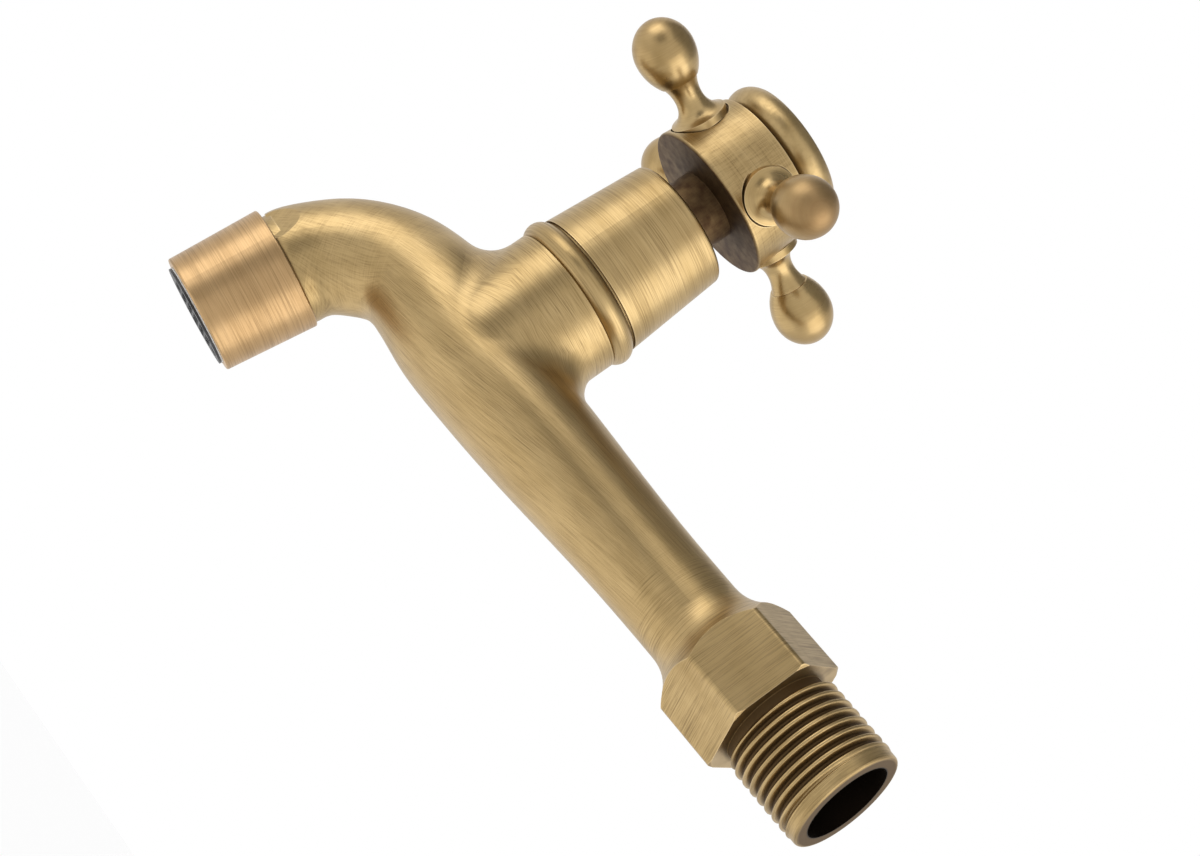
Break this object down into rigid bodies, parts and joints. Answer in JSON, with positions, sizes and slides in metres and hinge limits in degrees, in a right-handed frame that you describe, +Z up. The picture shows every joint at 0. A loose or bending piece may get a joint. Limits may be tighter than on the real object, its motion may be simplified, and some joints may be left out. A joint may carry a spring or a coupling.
{
  "type": "wall-mounted tap",
  "caption": "Wall-mounted single tap in antique brass with a threaded hexagon inlet, a turned-down spout with an aerator nozzle, a conical bonnet and a cross handle with ball-ended spokes.",
  "frame": {"origin": "on the inlet axis, where the full inlet thread begins next to the hexagon", "axes": "+Y along the inlet into the wall, +Z up along the valve axis, +X to the right as seen looking along +Y"},
  "size_m": [0.0526, 0.1495, 0.103],
  "materials": {
    "antique_brass": "satin brushed antique brass with dark patina in grooves",
    "plain_brass": "plain machined brass",
    "ceramic": "lapped ceramic",
    "black_rubber": "matte",
    "pale_plastic": "moulded acetal",
    "black_plastic": "moulded",
    "steel": "plain steel"
  },
  "bodies": {
    "tap": {"tap_body": "antique_brass", "aerator_housing": "antique_brass", "aerator_washer": "black_rubber", "aerator_cage": "pale_plastic", "aerator_flow_disc": "pale_plastic", "aerator_grille": "black_plastic", "bonnet_shroud": "antique_brass", "headwork_gasket": "black_rubber", "headwork_body": "plain_brass", "seat_seal": "black_rubber", "fixed_ceramic_disc": "ceramic", "thrust_washer": "steel"},
    "handle": {"handle_hub": "antique_brass", "handle_spoke_1": "antique_brass", "handle_spoke_2": "antique_brass", "handle_spoke_3": "antique_brass", "handle_spoke_4": "antique_brass", "handle_cap": "antique_brass", "handle_washer": "steel", "handle_screw": "steel", "spindle": "plain_brass", "spindle_o_rings": "black_rubber", "circlip": "steel", "moving_ceramic_disc": "ceramic"}
  },
  "joints": [
    {"name": "handle_turn", "type": "hinge", "parent": "tap", "child": "handle", "pos_m": [0, -0.084, 0.05], "axis": [0, 0, 1], "range_deg": [0, 90]}
  ]
}
